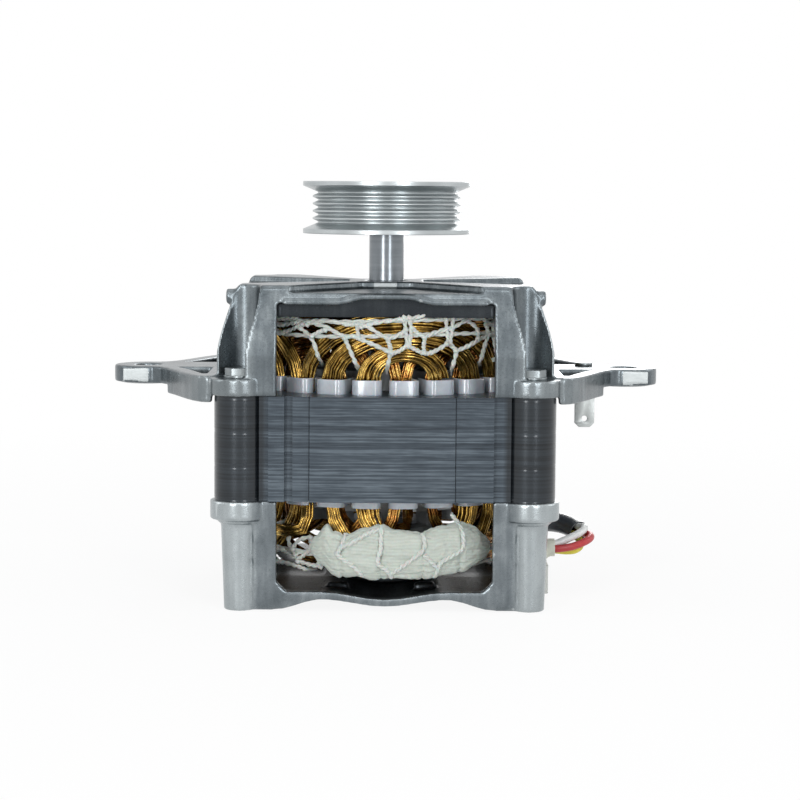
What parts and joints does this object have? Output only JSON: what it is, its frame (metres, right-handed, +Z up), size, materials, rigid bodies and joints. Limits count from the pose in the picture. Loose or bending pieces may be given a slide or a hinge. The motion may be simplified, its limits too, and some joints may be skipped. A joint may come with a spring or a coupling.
{
  "type": "washing machine motor",
  "caption": "Vertical-shaft induction drive motor with ribbed belt pulley, open cast end bells, visible windings, two mounting ears, ground tab and wired connector.",
  "frame": {"origin": "on the shaft axis, in the plane of the four feet", "axes": "+Z up along the shaft towards the pulley, +X towards the ear that carries the ground tab, front with the cloth sleeve at -Y"},
  "size_m": [0.1738, 0.106, 0.13],
  "materials": {
    "turned_pulley": "fine turned",
    "shaft_steel": "ground",
    "lamination_steel": "stacked sheet edges, varnished",
    "cast_aluminium": "as die cast",
    "spring_steel": "satin",
    "fibre_washer": "matte",
    "slot_film": "translucent film",
    "wedge_board": "matte",
    "enamelled_wire": "enamelled",
    "lacing_cord": "waxed cord",
    "glass_cloth": "crinkled cloth",
    "black_plastic": "satin",
    "zinc_steel": "zinc plated",
    "sintered_bronze": "sintered, oiled",
    "oil_felt": "oil-soaked felt",
    "tinned_tab": "tin plated",
    "black_sleeving": "satin",
    "white_insulation": "satin",
    "red_insulation": "satin",
    "yellow_insulation": "satin",
    "cream_sleeving": "varnished braid",
    "connector_nylon": "moulded"
  },
  "bodies": {
    "stator": {"stator_stack": "lamination_steel", "slot_liners": "slot_film", "slot_wedges": "wedge_board", "main_winding": "enamelled_wire", "start_winding": "enamelled_wire", "upper_lacing": "lacing_cord", "lower_lacing": "lacing_cord", "winding_sleeve": "glass_cloth", "thermal_protector": "black_plastic", "top_bell": "cast_aluminium", "bottom_bell": "cast_aluminium", "through_bolts": "zinc_steel", "upper_bearing": "sintered_bronze", "lower_bearing": "sintered_bronze", "upper_felt": "oil_felt", "lower_felt": "oil_felt", "upper_bearing_clip": "spring_steel", "lower_bearing_clip": "spring_steel", "upper_bearing_cap": "zinc_steel", "lower_bearing_cap": "zinc_steel", "end_plug": "zinc_steel", "ground_tab": "tinned_tab", "ground_rivet": "zinc_steel", "lead_sleeve": "black_sleeving", "white_lead": "white_insulation", "red_lead": "red_insulation", "yellow_lead": "yellow_insulation", "connector_sleeve": "cream_sleeving", "connector_housing": "connector_nylon", "connector_terminals": "tinned_tab"},
    "rotor": {"pulley": "turned_pulley", "shaft": "shaft_steel", "rotor_core": "lamination_steel", "rotor_cage": "cast_aluminium", "oil_slingers": "spring_steel", "thrust_washers": "fibre_washer"}
  },
  "joints": [
    {"name": "rotor_spin", "type": "hinge", "parent": "stator", "child": "rotor", "pos_m": [0, 0, 0.05], "axis": [0, 0, 1], "continuous": true}
  ]
}
